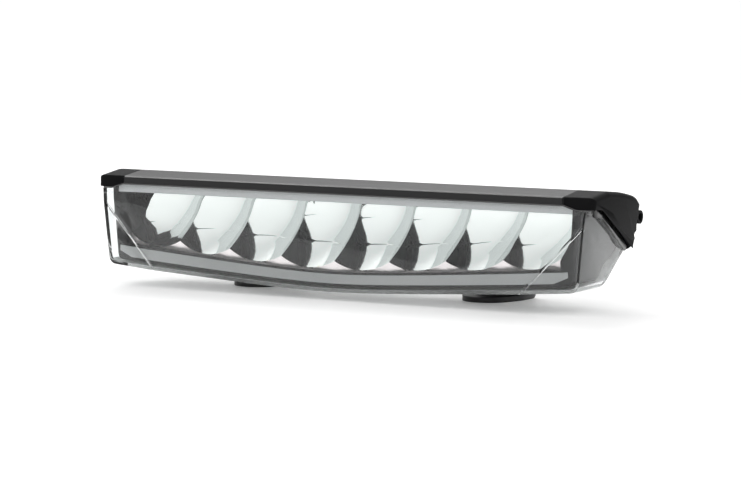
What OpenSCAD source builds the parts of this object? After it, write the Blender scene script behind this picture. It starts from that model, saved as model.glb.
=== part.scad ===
// Car driving light with one row of eight top-lit reflector bowls behind a clear one-piece lens.
// The lamp frame has Y = 0 at the housing's front edge (front towards -Y) and Z = 0 at that
// edge's lower line. place() moves it so that the feet stand on Z = 0 and Y = 0 is mid-depth.

/* [Overall] */
// Width over both end caps
overall_w = 534; // [500:1:600]
// Width of each end cap along the lamp
cap_w = 31; // [26:1:36]
// Height of the housing's front edge above the feet
edge_h = 98; // [96:1:120]

/* [Housing section] */
// Height of the front lip
lip_h = 7; // [6:0.5:9]
// How far the front lip leans back over its height
lip_lean = 1.9; // [0:0.1:3]
// Depth of the solid front lip
lip_d = 20; // [18:1:24]
// Distance from the front edge back to the roof's crest
crest_y = 31; // [28:1:34]
// Height of the roof's crest
crest_z = 11; // [9.5:0.5:13]
// Fall of the roof from its crest to its rear edge
roof_fall = 15; // [12:0.5:16]
// How far the roof reaches behind the rear wall's inner face
roof_reach = 14; // [12:0.5:18]
// Thickness of the roof
roof_t = 4.5; // [3.5:0.1:5]
// Depth of the shelf's front edge
shelf_y = 36; // [33:1:40]
// Height of the shelf's underside, below the front edge
shelf_drop = 7.6; // [7:0.1:8.5]
// Thickness of the shelf that carries the light sources
shelf_t = 4; // [3:0.1:4.5]
// Distance from the front edge back to the rear wall's inner face
rear_y = 84; // [83:0.5:88]
// Thickness of the rear wall
rear_t = 3; // [2.5:0.1:4]
// Height of the housing below its front edge
keel_z = 47; // [45:0.5:50]

/* [Cooling fins] */
// Number of fins on the rear wall
fin_count = 4; // [2:1:4]
// Thickness of a fin
fin_t = 2; // [1.5:0.1:2.6]
// Distance from one fin to the next
fin_pitch = 7.6; // [7:0.1:7.8]
// How far a fin stands out of the rear wall
fin_d = 8; // [6:0.5:9]

/* [Mounting slot] */
// Width of the slot's opening
slot_w = 6.6; // [6.4:0.1:7.2]
// Width of the chamber that the nuts slide in
chamber_w = 10.4; // [10.3:0.1:11]
// Height of the chamber
chamber_h = 5.8; // [5.6:0.1:6.5]
// Thickness of the slot's lips
slot_lip = 2.8; // [2.4:0.1:3.4]
// Width of the block that holds the slot
slot_block_w = 16; // [15.5:0.5:18]
// Height of the block that holds the slot
slot_block_h = 13; // [12:0.5:15]

/* [End caps] */
// Wall of an end cap
cap_wall = 3.5; // [3:0.1:4.5]
// Rounding along the outer rim of an end cap
cap_round = 7; // [4:0.5:8]
// Drop of the cap's front edge below the housing's
cap_drop = 4; // [3:0.5:5]
// Radius of the screw lobe at the rear
lobe_r = 6.2; // [5.8:0.1:7]
// Thickness of the end gaskets
end_gasket_t = 1; // [0.6:0.1:1.5]

/* [Screws] */
// Radius of the end cap screws
cap_screw_r = 2; // [1.8:0.1:2.2]
// Radius of their heads
cap_head_r = 3.5; // [3.2:0.1:3.6]
// Height of their heads
cap_head_h = 4; // [3:0.1:4.4]
// Radius of the small screws inside the lamp
small_screw_r = 1.5; // [1.2:0.1:1.7]
// Radial clearance of a screw in its hole
screw_gap = 0.2; // [0.1:0.05:0.3]

/* [Lens] */
// How far each end cap reaches beyond the lens
cap_overhang = 7.5; // [5:0.5:12]
// How far each side of the lens leans in, for each unit of height
lens_side_lean = 0.1; // [0.06:0.005:0.16]
// How far the front leans forward, for each unit of height
lens_front_lean = 0.106; // [0.08:0.005:0.13]
// Wall of the lens
lens_wall = 3; // [2.4:0.1:3.5]
// Depth of the lens below the front edge, at its ends
lens_drop = 78.3; // [76:0.1:82]
// How much further the lower edge hangs in the middle
lens_belly = 11.7; // [8:0.1:13]
// Rounding of the lower corners
lens_corner_r = 8; // [5:0.5:9]
// Turn of the lower corner facets, seen from above
corner_turn = 8; // [4:0.5:12]
// Dip of the lower corner facets
corner_dip = 1.7; // [0:0.1:6]
// How far in from each side the facets' crease passes
corner_in = 29.5; // [24:0.5:36]
// How far below the front edge the crease passes there
corner_low = 46; // [40:1:52]
// Thickness of the seal between lens and housing
seal_t = 1.2; // [0.8:0.1:1.6]

/* [Bezel and trim] */
// Gap between the lens and the bezel
bezel_gap = 2; // [1.5:0.1:2.4]
// Wall of the bezel
bezel_wall = 2; // [1.5:0.1:2.4]
// Height of the bezel's bar between window and strip
bezel_bar = 2.2; // [1.6:0.1:2.6]
// Further gap between the lens and the bezel at the sides
bezel_side = 4; // [2:0.5:5]
// Distance from the lens's top corners in to the window
frame_w = 16; // [15:0.5:20]
// Depth of the bezel's side walls behind the window
reveal_d = 33; // [24:1:36]
// Height of the upper trim
trim_h = 9; // [8:0.5:10]
// Thickness of the upper trim
trim_t = 2.5; // [2:0.1:3]

/* [Reflector] */
// Number of bowls
bowl_count = 8; // [6:1:9]
// Gap between the outermost bowls and the window's sides
bowl_margin = 11.5; // [10.5:0.5:14]
// Depth of the bowls' ridges at the top
ridge_y = 53; // [50:0.5:55]
// Depth of the ridges' tips at the lamp's ends
tip_y = 6.7; // [5.5:0.1:8]
// How much further forward the tips stand in the middle
tip_bulge = 5.8; // [4:0.1:7]
// Height of the ridges' tips above the strip at the lamp's ends
tip_lift = 11.5; // [10.3:0.1:12.8]
// How much lower the tips hang in the middle
tip_belly = 14.3; // [12:0.1:15]
// Thickness of the reflector's wall, measured along the lamp's depth
bowl_t = 3; // [2.4:0.1:3.4]

/* [Lower strip] */
// Height of the strip above the lens's lower edge at the lamp's ends
strip_lift = 8.3; // [7.5:0.1:9.5]
// Height of the strip at the lamp's ends
strip_h = 10.2; // [9.4:0.1:10.6]
// How much lower the strip's lower edge hangs in the middle
strip_belly = 12.7; // [12:0.1:12.8]
// Distance from the strip's ends to the window's sides
strip_margin = 3; // [2:0.5:8]
// Thickness of the light guide
guide_t = 5; // [4:0.1:6]

/* [Brackets] */
// Distance between the two feet
foot_spacing = 250; // [200:5:320]
// Width of a bracket
bracket_w = 60; // [54:1:70]
// Thickness of a bracket's metal
bracket_t = 5; // [4:0.5:6]
// Depth of the foot's front from the housing's front edge
foot_front = 44; // [40:1:50]
// Radius of the foot's hole
foot_hole_r = 4.5; // [4.2:0.1:5.5]
// Depth of the foot's hole from the housing's front edge
foot_hole_y = 68; // [64:1:76]
// Distance between a bracket's two bolts
bolt_spacing = 34; // [28:1:38]
// Radius of the bracket bolts
bolt_r = 3; // [2.8:0.1:3.1]

/* [Cable inlet and vent] */
// Radius of the inlet's and the vent's shank
inlet_r = 6; // [5:0.1:6.5]
// Radius of the cable's way through
cable_r = 3.4; // [2.5:0.1:3.6]
// Drop of the inlet and the vent below the front edge
inlet_drop = 21; // [20:0.5:22]

/* [Hidden] */

half_w = overall_w / 2;
cap_in = half_w - cap_w;
body_half = cap_in - end_gasket_t;
roof_d = rear_y + roof_reach;
strip_drop = lens_drop - strip_lift - strip_h;
tip_drop = strip_drop - tip_lift;
lens_top_half = half_w - cap_overhang;
window_half = lens_top_half - frame_w;
bank_half = window_half - bowl_margin;
bowl_pitch = 2 * bank_half / bowl_count;
round_fn = 48;
// How far a cut runs past a surface, and how far joined shapes run into each other
over = 1;
// Small, middle and wide corner roundings
edge_r = 0.6;
soft_r = 3;
wide_r = 6;

// Seen along the lamp: heights of the roof's top and of the caps' lower edge at a given depth
mid_run = 31;
mid_fall = 3;
tail_run = 10;
tail_fall = 7.8;
tail_t = 2.5;
lip_edge = 1;
mid_y = crest_y + mid_run;
mid_z = crest_z - mid_fall;
slope_y = roof_d - tail_run;
slope_z = crest_z - tail_fall;
tail_z = crest_z - roof_fall;
roof_pts = [[0, lip_h - lip_edge], [lip_lean, lip_h], [crest_y, crest_z], [mid_y, mid_z],
            [slope_y, slope_z], [roof_d, tail_z]];
band_front = 14;
knee_y = 40;
knee_z = -9;
heel_h = 5.5;
heel_z = heel_h - keel_z;
keel_slope = (heel_z - knee_z) / (rear_y - knee_y);
keel_pts = [[0, -cap_drop], [band_front, -cap_drop], [knee_y, knee_z], [rear_y, heel_z]];
function roof(y) = lookup(y, roof_pts);
function keel(y) = lookup(y, keel_pts);
shelf_z = -shelf_drop;
shelf_top = shelf_z + shelf_t;

// Rounded V, 1 in the middle of the lamp and 0 at its ends
vee_half = cap_in + cap_drop;
vee_round = 0.25;
function vee(x) = 1 - (sqrt(pow(x / vee_half, 2) + pow(vee_round, 2)) - vee_round)
                      / (sqrt(1 + pow(vee_round, 2)) - vee_round);
function lens_bottom(x) = -lens_drop - lens_belly * vee(x);
function strip_top(x) = -strip_drop - tip_belly * vee(x);
function strip_bottom(x) = -strip_drop - strip_h - strip_belly * vee(x);
function steps(a, b, n) = [for (i = [0:n]) a + (b - a) * i / n];

// A path whose corners [x, y, setback] are rounded by a curve that starts one setback away
function unit(v) = v / norm(v);
function xy(p) = [p[0], p[1]];
function corner(a, p, b, n) = p[2] == 0 ? [xy(p)] :
    let (s = xy(p) + p[2] * unit(xy(a) - xy(p)), e = xy(p) + p[2] * unit(xy(b) - xy(p)))
    [for (t = steps(0, 1, n)) (1 - t) * (1 - t) * s + 2 * t * (1 - t) * xy(p) + t * t * e];
function rounded(pts, n = 5) = [for (i = [0:len(pts) - 1])
    each corner(pts[(i + len(pts) - 1) % len(pts)], pts[i], pts[(i + 1) % len(pts)], n)];

// A closed path moved inwards by d; the path runs anticlockwise
function inward(a, b) = let (u = unit(b - a)) [-u[1], u[0]];
function moved(a, p, b, d) =
    let (n1 = inward(a, p), n2 = inward(p, b), k = 1 + n1 * n2) p + d * (n1 + n2) / k;
function inset(pts, d) = [for (i = [0:len(pts) - 1])
    moved(pts[(i + len(pts) - 1) % len(pts)], pts[i], pts[(i + 1) % len(pts)], d)];

// Extrusions of a (Y, Z) section along X, and of an (X, Z) outline along Y
module along_x(x0, x1) translate([x0, 0, 0]) rotate([90, 0, 90]) linear_extrude(x1 - x0) children();
module along_y(y0, y1) translate([0, y1, 0]) rotate([90, 0, 0]) linear_extrude(y1 - y0) children();
module both_sides() { children(); mirror([1, 0, 0]) children(); }
module rod_x(x0, x1, y, z, r) translate([x0, y, z]) rotate([0, 90, 0])
    cylinder(h = x1 - x0, r = r, $fn = round_fn);
module rod_y(y0, y1, x, z, r) translate([x, y1, z]) rotate([90, 0, 0])
    cylinder(h = y1 - y0, r = r, $fn = round_fn);
module rod_z(z0, z1, x, y, r) translate([x, y, z0]) cylinder(h = z1 - z0, r = r, $fn = round_fn);

// Housing: one extruded section with roof, lip, shelf, rear wall, fins and the mounting slot
first_fin = 5.6;
lobe_gap = 5;
low_port_d = 4.5;
low_port_h = 2.1;
port_wall = 2.8;
thread_gap = 0.05;
port_r = cap_screw_r - thread_gap;
wall_out = rear_y + rear_t;
block_z = slot_block_h - keel_z;
fin_z0 = tail_z - first_fin;
fin_end = wall_out + fin_d;
lobe = [fin_end + lobe_gap, fin_z0 - fin_pitch];
low_port = [wall_out + low_port_d, block_z + low_port_h];
peg_port = [0.7 * lip_d, lip_h / 2];
ports = [low_port, lobe];
slot_y = rear_y + slot_block_w / 2;
slot_floor = slot_lip - keel_z;
rib_t = 3.5;
rear_rib = 11;
rib_y = [shelf_y, rear_y - rear_rib];
pocket_half = 13;
pocket_top = fin_z0 - fin_t / 2;
inlet_x = 2 * bowl_pitch;
inlet_gap = 0.1;
link_x = bowl_pitch / 2;
link_slot = [22, 8];

module disc_2d(p, r) translate(p) circle(r = r, $fn = round_fn);
module roof_2d() polygon(rounded([[0, 0, edge_r], [lip_d, 0, edge_r], [lip_d, roof(lip_d) - roof_t, edge_r],
    [crest_y, crest_z - roof_t, soft_r], [mid_y, mid_z - roof_t, wide_r],
    [slope_y - over, slope_z - roof_t, soft_r],
    [roof_d - tail_t, tail_z - tail_t, edge_r], [roof_d, tail_z - tail_t, edge_r], [roof_d, tail_z, 2 * edge_r],
    [slope_y, slope_z, wide_r], [mid_y, mid_z, wide_r], [crest_y, crest_z, soft_r],
    [lip_lean, lip_h, edge_r], [0, lip_h - lip_edge, 0]]));
module walls_2d() {
    roof_2d();
    translate([rear_y, over - keel_z]) square([rear_t, keel_z + roof(rear_y) - 2 * over]);
    translate([rear_y, -keel_z]) square([slot_block_w, slot_block_h]);
}
module ports_2d() {
    for (p = ports) disc_2d(p, port_r + port_wall);
    translate([wall_out - over, lobe[1] - fin_t / 2]) square([fin_d + lobe_gap - over, fin_t]);
}
module bores_2d(r) for (p = concat(ports, [peg_port])) disc_2d(p, r);
module slot_2d() {
    translate([slot_y - slot_w / 2, -keel_z - over]) square([slot_w, slot_lip + 2 * over]);
    translate([slot_y - chamber_w / 2, slot_floor]) square([chamber_w, chamber_h]);
}
module fin_2d(i) translate([wall_out - over, fin_z0 - i * fin_pitch - fin_t / 2]) square([fin_d + over, fin_t]);
module housing_2d() difference() {
    union() {
        walls_2d();
        ports_2d();
        translate([shelf_y, shelf_z]) square([rear_y - shelf_y + over, shelf_t]);
        for (y = rib_y) translate([y, shelf_z + over / 2]) square([rib_t, roof(y) - shelf_z - roof_t / 2]);
        for (i = [0:fin_count - 1]) fin_2d(i);
    }
    bores_2d(port_r);
    slot_2d();
    translate([driver_y0 - groove_gap, driver_z]) square([driver_d + 2 * groove_gap, board_t + groove_gap]);
}
module housing() color("#1c1c1d") difference() {
    along_x(-body_half, body_half) housing_2d();
    for (x = [-inlet_x, inlet_x]) {
        translate([x - pocket_half, wall_out, block_z])
            cube([2 * pocket_half, fin_d + lobe_gap + 2 * lobe_r, pocket_top - block_z]);
        rod_y(rear_y - over, wall_out + over, x, -inlet_drop, inlet_r + inlet_gap);
    }
    for (p = concat(posts, board_holes))
        rod_z(shelf_z - over, shelf_top + over, p[0], p[1], small_screw_r + screw_gap);
    translate([link_x - link_slot[0] / 2, link_y - link_slot[1] / 2, shelf_z - over])
        cube([link_slot[0], link_slot[1], shelf_t + 2 * over]);
}

// End caps: cups with a rim rounded by rings that step inwards, two screw seats and a locating peg
tail_in = [0.8, 2, 1];
tail_low = [30, 24, 12];
toe = [8.5, 4];
cap_pts = [[0, -cap_drop, edge_r], [band_front, -cap_drop, 0], [knee_y, knee_z, 0], [rear_y, heel_z, 0],
    [rear_y, edge_r - keel_z, edge_r], [rear_y + toe[0], toe[1] - keel_z, soft_r],
    [roof_d - tail_in[0], -tail_low[0], wide_r], [roof_d - tail_in[1], -tail_low[1], edge_r],
    [roof_d - tail_in[2], -tail_low[2], soft_r], [roof_d, tail_z, soft_r], [slope_y, slope_z, wide_r],
    [mid_y, mid_z, wide_r], [crest_y, crest_z, soft_r], [lip_lean, lip_h, soft_r / 2]];
rim_steps = 5;
rim_ratio = 0.7;
root = 3;
edge_run = 13;
edge_end = cap_in + edge_run;
peg_l = 12;
seat_d = 12;
seat_x = half_w - seat_d;
hollow_d = 9.5;
hollow_front = 22;
function lean_in(z) = (crest_z - z) * lens_side_lean;
// The rim is rounded along the top and the rear; the lower edge keeps its line
function keel_kept(p) = [[p[0][0] - (cap_drop + p[0][1]) * lip_lean / (lip_h + cap_drop), -cap_drop],
    xy(cap_pts[1]), xy(cap_pts[2]), [p[3][0], heel_z + (p[3][0] - rear_y) * keel_slope]];
function cap_path(d) = let (in = inset([for (p = cap_pts) xy(p)], d), kept = keel_kept(in))
    rounded([for (i = [0:len(in) - 1]) let (p = i < len(kept) ? kept[i] : in[i])
        [p[0], p[1], cap_pts[i][2] == 0 ? 0 : max(edge_r, cap_pts[i][2] - d)]], 4);
function ring(x, d) = [for (p = cap_path(d)) [x - (x > cap_in ? lean_in(p[1]) : 0), p[0], p[1]]];
cap_rings = concat([ring(cap_in - root, 0)], [for (a = steps(0, 90, rim_steps))
    ring(half_w - cap_round * (1 - sin(a)), rim_ratio * cap_round * (1 - cos(a)))]);
module loft(rings) {
    n = len(rings[0]);
    m = len(rings);
    polyhedron(points = [for (r = rings) each r], convexity = 6, faces = concat(
        [[for (i = [0:n - 1]) i]],
        [for (k = [0:m - 2], i = [0:n - 1]) let (j = (i + 1) % n, a = k * n, b = a + n)
            [a + i, b + i, b + j, a + j]],
        [[for (i = [0:n - 1]) (m - 1) * n + n - 1 - i]]));
}
// A loft whose root is cut off flat at x
module cut_loft(rings, x) difference() {
    loft(rings);
    translate([x - 2 * root, -roof_d, -2 * roof_d]) cube([2 * root, 3 * roof_d, 3 * roof_d]);
}
module cavity_2d() {
    back = rear_y - cap_wall;
    polygon([[hollow_front, keel(hollow_front) + cap_wall], [knee_y, knee_z + cap_wall],
        [back, keel(back) + 1.3 * cap_wall], [back, roof(back) - roof_t], [mid_y, mid_z - roof_t],
        [crest_y, crest_z - roof_t], [hollow_front, roof(hollow_front) - roof_t]]);
}
module end_cap() difference() {
    union() {
        difference() {
            cut_loft(cap_rings, cap_in);
            along_x(cap_in - over, half_w - hollow_d) cavity_2d();
        }
        rod_x(cap_in - peg_l, cap_in + over, peg_port[0], peg_port[1], port_r - thread_gap);
        rod_x(cap_in, half_w - lean_in(lobe[1]) - over, lobe[0], lobe[1], lobe_r);
    }
    for (p = ports) {
        rod_x(cap_in - over, half_w, p[0], p[1], cap_screw_r + screw_gap);
        rod_x(seat_x, half_w + over, p[0], p[1], cap_head_r + screw_gap);
    }
    along_y(-over, band_front) polygon([[cap_in - over, 0], [cap_in, 0], [edge_end, -cap_drop],
        [edge_end, -cap_drop - over], [cap_in - over, -cap_drop - over]]);
}
module end_cap_left() color("#232324") mirror([1, 0, 0]) end_cap();
module end_cap_right() color("#232324") end_cap();

module end_gasket() along_x(body_half, cap_in) difference() {
    intersection() {
        union() { walls_2d(); ports_2d(); }
        union() { polygon(cap_path(0)); disc_2d(lobe, lobe_r); }
    }
    bores_2d(cap_screw_r + screw_gap);
    slot_2d();
}
module end_gasket_left() color("#101010") mirror([1, 0, 0]) end_gasket();
module end_gasket_right() color("#101010") end_gasket();

screw_reach = 14;
socket_d = 2;
module cap_screw(p) difference() {
    union() {
        rod_x(seat_x, seat_x + cap_head_h, p[0], p[1], cap_head_r);
        rod_x(body_half - screw_reach, seat_x + over, p[0], p[1], port_r - thread_gap);
    }
    translate([seat_x + cap_head_h - socket_d, p[0], p[1]]) rotate([0, 90, 0])
        cylinder(h = 2 * socket_d, r = cap_head_r / 2, $fn = 6);
}
module end_cap_screws() color("#3a3a3c") both_sides() for (p = ports) cap_screw(p);

// Lens: the space inside a leaning front, leaning sides, a V-shaped floor and a slanted rear floor,
// with a facet at each lower corner. d moves every wall inwards, and side moves the sides in further.
face_y = -0.5;
floor_y = 47;
floor_z = -77;
floor_rise = 0.857;
lens_rear = rear_y - seal_t;
box_top = 6;
box_low = -lens_drop - 4 * lens_belly;
reach_y = roof_d / 2;

function lean_gap(d, lean) = d * sqrt(1 + lean * lean);
function front_y(z, d) = face_y + lens_front_lean * z + lean_gap(d, lens_front_lean);
function rise_z(y, d) = floor_z + (y - floor_y) * floor_rise + lean_gap(d, floor_rise);
function rise_y(z, d) = floor_y + (z - floor_z - lean_gap(d, floor_rise)) / floor_rise;
function lens_half(z, d) = lens_top_half + lens_side_lean * z - lean_gap(d, lens_side_lean);
corner_at = [lens_top_half - corner_in, front_y(-corner_low, 0), -corner_low];
vee_steps = 28;
module side_2d(d, rear) {
    top = box_top + d;
    low = front_y(box_low, d);
    polygon([[front_y(top, d), top], [low, box_low], [max(low + over, rise_y(box_low, d)), box_low],
        [rear, rise_z(rear, d)], [rear, top]]);
}
module front_2d(d, side) {
    x1 = lens_half(lens_bottom(vee_half), d + side);
    inner = x1 - lens_corner_r - over;
    z1 = lens_bottom(x1) + d;
    top = box_top + d;
    polygon(rounded(concat([[-x1, z1, lens_corner_r - d / 2]],
        [for (x = steps(-inner, inner, vee_steps)) [x, lens_bottom(x) + d, 0]],
        [[x1, z1, lens_corner_r - d / 2]], [for (m = [1, -1]) [m * lens_half(top, d + side), top, 0]])));
}
module corner_cut(d) translate(corner_at) rotate([0, 0, corner_turn]) rotate([corner_dip, 0, 0])
    translate([-lens_drop, d - reach_y, -lens_drop]) cube([2 * lens_drop, reach_y, 2 * lens_drop]);
module lens_form(d, rear = lens_rear, side = 0) difference() {
    intersection() {
        along_x(-half_w, half_w) side_2d(d, rear);
        along_y(-reach_y, rear + over) front_2d(d, side);
    }
    both_sides() corner_cut(d);
}

// The band beside the lens, between the cap's lower edge and the lens's upper edge
reveal_t = 2;
band_gap = reveal_t + 0.5;
band_in = window_half + band_gap;
band_end = [band_front + 2, -11.5];
band_low = [band_end, [knee_y - heel_h, knee_z - wide_r], [rear_y, -keel_z]];
band_pts = concat(band_low, [[rear_y, heel_z], [knee_y, knee_z], [band_front, -cap_drop]]);
band_out = 3;
band_steps = [for (a = [0:18:90]) [sin(a), 0.8 * (1 - cos(a))]];
function band_ring(out, d) = [for (p = inset(band_pts, d)) [lens_half(p[1], 0) + out, p[0], p[1]]];
band_root = [for (p = band_pts) [band_in - root, p[0], p[1]]];
band_rings = concat([band_root], [for (b = band_steps) band_ring(b[0] * band_out, b[1] * band_out)]);
function edge_z(x) = lookup(abs(x), [[cap_in, 0], [edge_end, -cap_drop]]);
function edge_path(drop, reach) = [for (x = [-reach, -edge_end, -cap_in, cap_in, edge_end, reach])
    [x, edge_z(x) - drop]];
module edge_2d(top, low, reach) {
    upper = edge_path(top, reach);
    polygon(concat(edge_path(low, reach), [for (i = [len(upper) - 1:-1:0]) upper[i]]));
}
module above_band_2d() polygon(concat([[band_front, -cap_drop - seal_t]], band_low,
    [[roof_d, -keel_z], [roof_d, keel_z], [band_front, keel_z]]));
module above_edge() along_y(-reach_y, band_front) polygon(concat(edge_path(seal_t, 2 * half_w),
    [[2 * half_w, keel_z], [-2 * half_w, keel_z]]));
module end_cuts() both_sides() along_x(band_in, 2 * half_w) above_band_2d();
module cap_clearance() both_sides() along_x(body_half, 2 * half_w) polygon([[band_front, -cap_drop - seal_t],
    [knee_y, knee_z - seal_t], [rear_y, heel_z - seal_t], [rear_y, keel_z], [band_front, keel_z]]);

module lens_cover() color([0.9, 0.93, 0.95, 0.35]) difference() {
    lens_form(0);
    lens_form(lens_wall, lens_rear + over);
    above_edge();
    end_cuts();
}
seal_d = 4;
seal_in = 0.1;
seal_low = rise_z(lens_rear, 0);
seal_end = band_front + 5.6;
module seal_corner() intersection() {
    along_x(edge_end, half_w) polygon([[face_y + seal_in, -cap_drop - seal_t], [band_front, -cap_drop - seal_t],
        [seal_end, keel(seal_end) - 2 * seal_t], [seal_end, keel(seal_end)],
        [band_front, -cap_drop], [face_y + seal_in, -cap_drop]]);
    lens_form(seal_in);
}
module lens_gasket() color("#141414") {
    both_sides() {
        cut_loft(band_rings, band_in);
        seal_corner();
    }
    along_y(face_y + seal_in, face_y + seal_d) edge_2d(0, seal_t, edge_end + over);
    translate([-band_in - over, lens_rear, seal_low]) cube([2 * band_in + 2 * over, seal_t, heel_z - seal_low]);
    translate([-body_half, lens_rear, seal_low]) cube([2 * body_half, seal_t, block_z - over - seal_low]);
}

// Bezel: a thin frame one gap inside the lens, with the window and the strip's slot cut out
bezel_d = lens_wall + bezel_gap;
bezel_in = bezel_d + bezel_wall;
step_z = [-35, -50];
step_w = 10;
window_low = window_half - step_w;
trim_gap = 0.2;
strip_end = window_half - strip_margin;
strip_bevel = 14;
strip_rear = knee_y / 2;
function window_bottom(x) = strip_top(x) + bezel_bar;
module window_2d() polygon(concat(
    [[-window_half, -step_z[0]], [-window_half, step_z[0]], [-window_low, step_z[1]]],
    [for (x = steps(-window_low, window_low, vee_steps)) [x, window_bottom(x)]],
    [[window_low, step_z[1]], [window_half, step_z[0]], [window_half, -step_z[0]]]));
module strip_2d(grow) polygon(concat(
    [for (x = steps(strip_end + grow, -strip_end - grow, vee_steps)) [x, strip_top(x) + grow]],
    [[-strip_end - grow, strip_top(strip_end) - strip_h / 2]],
    [for (x = steps(strip_bevel - strip_end, strip_end - strip_bevel, vee_steps)) [x, strip_bottom(x) - grow]],
    [[strip_end + grow, strip_top(strip_end) - strip_h / 2]]));
module reveal_2d() polygon([[window_half, 0], [window_half, step_z[0]], [window_low, step_z[1]],
    [window_low, window_bottom(window_low)], [window_low + reveal_t, window_bottom(window_low)],
    [window_low + reveal_t, step_z[1] - over / 2], [window_half + reveal_t, step_z[0] - over / 2],
    [window_half + reveal_t, 0]]);
module inner_bezel() color("#161617") difference() {
    union() {
        difference() {
            lens_form(bezel_d, side = bezel_side);
            lens_form(bezel_in, lens_rear + over, bezel_side);
            along_y(-reach_y, knee_y) window_2d();
        }
        intersection() {
            lens_form(bezel_d, side = bezel_side);
            along_y(-reach_y, reveal_d) both_sides() reveal_2d();
        }
    }
    along_y(-reach_y, strip_rear) strip_2d(0);
    above_edge();
    end_cuts();
    cap_clearance();
}
module upper_trim() color("#8c8e90") difference() {
    intersection() {
        lens_form(bezel_d);
        along_y(-reach_y, knee_y) intersection() {
            edge_2d(0, 2 * trim_h, half_w);
            translate([trim_gap - window_half, -trim_h]) square([2 * (window_half - trim_gap), trim_h]);
        }
    }
    lens_form(bezel_d + trim_t);
}

// Reflector: bowls open to the front, each lit from above by an emitter near its focus
board_t = 1.6;
emitter_t = 0.8;
focus_z = shelf_z - board_t - emitter_t;
half_bowl = bowl_pitch / 2;
limit_gap = 1.5;
bowl_limit = rear_y - bowl_t - limit_gap;
bowl_cols = 10;
col_count = bowl_count * bowl_cols;
// Each bowl has three facets, one above the other, that step back upwards; lines at these shares of its height
tier_at = [0.4, 0.79];
tier_step = 0.5;
tier_edge = 0.35;
tier_rows = 3;
rows = 3 * (tier_rows + 1) + 2;
bank_gap = 0.2;
bank_top = shelf_z - board_t - bank_gap;
bank_rest = 1.6;
apron_lean = 0.4;
function apron_y(x) = tip_y - tip_bulge * vee(x);
function tip_reach(x) = tip_drop + tip_belly * vee(x) + focus_z;
function reach(x) = norm([tip_reach(x), half_bowl]);
function curve4(x) = pow(tip_reach(x), 2) / (ridge_y - apron_y(x));
function bowl_back(x) = ridge_y + pow(half_bowl, 2) / curve4(x);
function bowl_y(x, dx, z, back) =
    min(bowl_limit, back + bowl_back(x) - (dx * dx + pow(z - focus_z, 2)) / curve4(x));
function tier_z(x, k) = focus_z - tier_at[k] * tip_reach(x);
function scallop_z(x, dx) = focus_z - sqrt(max(1, pow(reach(x), 2) - dx * dx));
function bank_bottom(x) = strip_top(x) + bank_rest;
// Column i stands at column_x(i), offset(i) from its bowl's middle; heights go down the bowl, then the apron
function column_x(i) = i * bowl_pitch / bowl_cols - bank_half;
function offset_x(i) = let (k = i % bowl_cols) k == 0 ? half_bowl : k * bowl_pitch / bowl_cols - half_bowl;
function tiers(x, dx) = [[bank_top, tier_z(x, 0) + tier_edge, 2 * tier_step],
    [tier_z(x, 0) - tier_edge, tier_z(x, 1) + tier_edge, tier_step],
    [tier_z(x, 1) - tier_edge, scallop_z(x, dx), 0]];
function bowl_part(x, dx) = [for (t = tiers(x, dx), z = steps(t[0], t[1], tier_rows))
    [bowl_y(x, dx, z, t[2]), z]];
function apron_part(x, dx) = [[apron_y(x) + apron_lean, (scallop_z(x, dx) + bank_bottom(x)) / 2],
    [apron_y(x) + 2 * apron_lean, bank_bottom(x)]];
function bank_points(back) = [for (i = [0:col_count]) let (x = column_x(i), dx = offset_x(i))
    for (p = concat(bowl_part(x, dx), apron_part(x, dx))) [x, p[0] + back, p[1]]];
function id(i, j, side) = (side * (col_count + 1) + i) * rows + j;
// Faces of the front and rear surface, then the four rims that join them
cells = [for (i = [0:col_count - 1], j = [0:rows - 2]) [i, j]];
bank_faces = concat(
    [for (c = cells) let (i = c[0], j = c[1])
        [id(i, j, 0), id(i + 1, j, 0), id(i + 1, j + 1, 0), id(i, j + 1, 0)]],
    [for (c = cells) let (i = c[0], j = c[1])
        [id(i, j, 1), id(i, j + 1, 1), id(i + 1, j + 1, 1), id(i + 1, j, 1)]],
    [for (i = [0:col_count - 1]) [id(i, 0, 0), id(i, 0, 1), id(i + 1, 0, 1), id(i + 1, 0, 0)]],
    [for (i = [0:col_count - 1], j = rows - 1) [id(i, j, 0), id(i + 1, j, 0), id(i + 1, j, 1), id(i, j, 1)]],
    [for (j = [0:rows - 2]) [id(0, j, 0), id(0, j + 1, 0), id(0, j + 1, 1), id(0, j, 1)]],
    [for (i = col_count, j = [0:rows - 2]) [id(i, j, 0), id(i, j, 1), id(i, j + 1, 1), id(i, j + 1, 0)]]);
module bank_shell()
    polyhedron(points = concat(bank_points(0), bank_points(bowl_t)), faces = bank_faces, convexity = 12);
post_r = 3.6;
post_h = 14;
post_end = 2;
post_y = ridge_y + bowl_t + post_r + bank_gap;
screw_back = 20;
posts = [for (i = [1:2:bowl_count - 1]) [i * bowl_pitch - bank_half, post_y]];
board_holes = [for (i = [2:2:bowl_count - 2]) [i * bowl_pitch - bank_half, ridge_y + screw_back]];
module reflector_bank() color("#dfe3e4") difference() {
    union() {
        bank_shell();
        for (p = posts) rod_z(bank_top - post_h, shelf_z - board_t, p[0], p[1], post_r);
    }
    for (p = posts) rod_z(bank_top - post_h + post_end, shelf_z, p[0], p[1], small_screw_r + thread_gap);
}

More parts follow.
